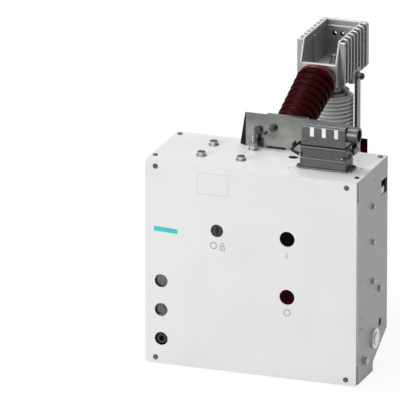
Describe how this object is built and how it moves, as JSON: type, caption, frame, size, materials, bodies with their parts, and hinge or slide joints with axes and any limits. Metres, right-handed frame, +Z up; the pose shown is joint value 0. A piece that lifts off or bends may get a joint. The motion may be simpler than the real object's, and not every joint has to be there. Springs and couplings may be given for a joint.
{
  "type": "vacuum circuit breaker",
  "caption": "Indoor single-pole vacuum circuit breaker: sheet-steel mechanism housing with an angled finned pole behind it.",
  "frame": {"origin": "centre of the four base bolt holes, on the underside", "axes": "+Z up, +X to the right seen from the front, +Y to the back"},
  "size_m": [0.5397, 0.598, 0.697],
  "materials": {
    "front_paint": "fine semi-matt powder coat",
    "side_paint": "fine semi-matt powder coat",
    "zinc": "zinc plated",
    "galvanised": "galvanised sheet",
    "steel": "machined",
    "brass": "machined",
    "black_plastic": "moulded",
    "red_plastic": "moulded",
    "alloy": "sand cast",
    "dark_metal": "dark finish",
    "copper": "bare copper",
    "resin": "glossy cast resin",
    "ceramic": "glazed",
    "plug_grey": "powder-coated die casting",
    "rubber": "moulded"
  },
  "bodies": {
    "root": {"front_cover": "front_paint", "top_cover": "front_paint", "left_side_plate": "side_paint", "right_side_plate": "side_paint", "back_plate": "side_paint", "bottom_plate": "side_paint", "cover_screws": "zinc", "side_bolts": "zinc", "top_bolts": "zinc", "earth_terminal": "zinc", "left_frame_wall": "zinc", "middle_frame_wall": "zinc", "right_frame_wall": "zinc", "rear_frame_plate": "zinc", "button_guides": "black_plastic", "lock_housing": "black_plastic", "indicator_bracket": "zinc", "crank_guide": "black_plastic", "closing_spring": "steel", "spring_barrel": "dark_metal", "motor_gearbox": "plug_grey", "charging_motor": "dark_metal", "shaft_bearings": "steel", "opening_spring": "dark_metal", "stop_buffer": "rubber", "auxiliary_switch": "black_plastic", "close_solenoid": "copper", "trip_solenoid": "copper", "crank_pivot": "steel", "support_bracket": "galvanised", "pole_bolts": "zinc", "upper_insulator": "resin", "upper_pole_head": "alloy", "interrupter_body": "ceramic", "interrupter_caps": "dark_metal", "fixed_contact": "copper", "bellows": "steel", "flexible_connector": "copper", "struts": "dark_metal", "strut_bolts": "zinc", "lower_support": "resin", "lower_terminal": "alloy", "plug_base": "plug_grey", "plug_hood": "plug_grey"},
    "on_button": {"on_button": "black_plastic"},
    "off_button": {"off_button": "red_plastic"},
    "lock": {"lock_cylinder": "steel"},
    "position": {"position_indicator": "alloy"},
    "charge": {"charge_indicator": "dark_metal"},
    "crank": {"crank_shaft": "steel", "charging_worm": "brass"},
    "cam": {"camshaft": "steel", "worm_wheel": "brass"},
    "shaft": {"main_shaft": "steel", "shaft_levers": "zinc"},
    "rod": {"drive_rod": "resin"},
    "angle_lever": {"bell_crank": "alloy"},
    "contact": {"moving_contact": "copper"},
    "lever_left": {"plug_lever_left": "steel"},
    "lever_right": {"plug_lever_right": "steel"}
  },
  "joints": [
    {"name": "on_button_press", "type": "slide", "parent": "root", "child": "on_button", "axis": [0, 1, 0], "range_m": [0, 0.007], "stiffness_N_per_m": 500, "springref_m": -0.003},
    {"name": "off_button_press", "type": "slide", "parent": "root", "child": "off_button", "axis": [0, 1, 0], "range_m": [0, 0.007], "stiffness_N_per_m": 500, "springref_m": -0.003},
    {"name": "lock_turn", "type": "hinge", "parent": "root", "child": "lock", "pos_m": [-0.083, -0.05, 0.342], "axis": [0, 1, 0], "range_deg": [0, 90]},
    {"name": "shaft_turn", "type": "hinge", "parent": "root", "child": "shaft", "pos_m": [0, 0.056, 0.082], "axis": [-1, 0, 0], "range_deg": [0, 17.18], "stiffness_Nm_per_rad": 4, "springref_deg": -11.46},
    {"name": "rod_slide", "type": "slide", "parent": "root", "child": "rod", "axis": [0, 0.9407, 0.3392], "range_m": [0, 0.018]},
    {"name": "angle_lever_turn", "type": "hinge", "parent": "root", "child": "angle_lever", "pos_m": [0.025, 0.392, 0.33], "axis": [1, 0, 0], "range_deg": [0, 17.19]},
    {"name": "contact_slide", "type": "slide", "parent": "root", "child": "contact", "axis": [0, 0, 1], "range_m": [0, 0.012], "deforming": ["bellows", "flexible_connector"]},
    {"name": "position_turn", "type": "hinge", "parent": "root", "child": "position", "pos_m": [-0.221, -0.05, 0.2035], "axis": [0, 1, 0], "range_deg": [0, 90]},
    {"name": "charge_turn", "type": "hinge", "parent": "root", "child": "charge", "pos_m": [-0.221, -0.05, 0.1325], "axis": [0, 1, 0], "range_deg": [0, 90]},
    {"name": "cam_turn", "type": "hinge", "parent": "root", "child": "cam", "pos_m": [-0.15, 0.005, 0.107], "axis": [1, 0, 0], "continuous": true},
    {"name": "crank_turn", "type": "hinge", "parent": "root", "child": "crank", "pos_m": [-0.221, -0.05, 0.061], "axis": [0, 1, 0], "continuous": true},
    {"name": "lever_left_turn", "type": "hinge", "parent": "root", "child": "lever_left", "pos_m": [0.0995, 0.027, 0.532], "axis": [0, -1, 0], "range_deg": [0, 65]},
    {"name": "lever_right_turn", "type": "hinge", "parent": "root", "child": "lever_right", "pos_m": [0.2025, 0.027, 0.532], "axis": [0, 1, 0], "range_deg": [0, 65]}
  ],
  "couplings": [
    {"joint": "rod_slide", "follows": "shaft_turn", "m_per_rad": 0.06},
    {"joint": "angle_lever_turn", "follows": "shaft_turn", "ratio": 1},
    {"joint": "contact_slide", "follows": "shaft_turn", "m_per_rad": 0.04},
    {"joint": "position_turn", "follows": "shaft_turn", "ratio": 5.2},
    {"joint": "crank_turn", "follows": "cam_turn", "ratio": -24}
  ]
}
